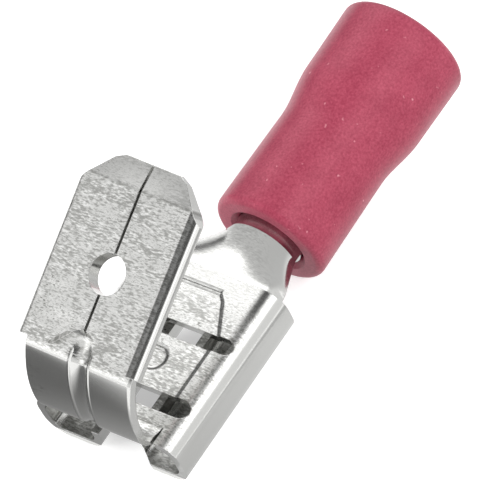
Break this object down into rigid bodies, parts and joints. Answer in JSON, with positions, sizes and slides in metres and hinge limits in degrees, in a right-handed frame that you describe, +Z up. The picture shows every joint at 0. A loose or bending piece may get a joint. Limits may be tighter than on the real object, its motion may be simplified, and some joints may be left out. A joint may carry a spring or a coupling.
{
  "type": "spade terminal",
  "caption": "Female spade terminal with a male tab folded back over the slot, for stacking a second connector, and a soft sleeve over its crimp barrel.",
  "frame": {"origin": "middle of the slot's mouth, midway between the tongue and the lips, in the plane of the rolls' front ends", "axes": "+X along the slot, from the mouth to the wire end; +Y across the slot; +Z up, from the slot to the folded-back male tab"},
  "size_m": [0.0234, 0.0078, 0.0133],
  "materials": {
    "tinned_brass": "tin-plated, bright, with fine rolling and stamping scratches",
    "soft_pvc": "satin, slightly mottled, rose red"
  },
  "bodies": {
    "root": {"terminal": "tinned_brass", "insulation_sleeve": "soft_pvc"}
  },
  "joints": []
}
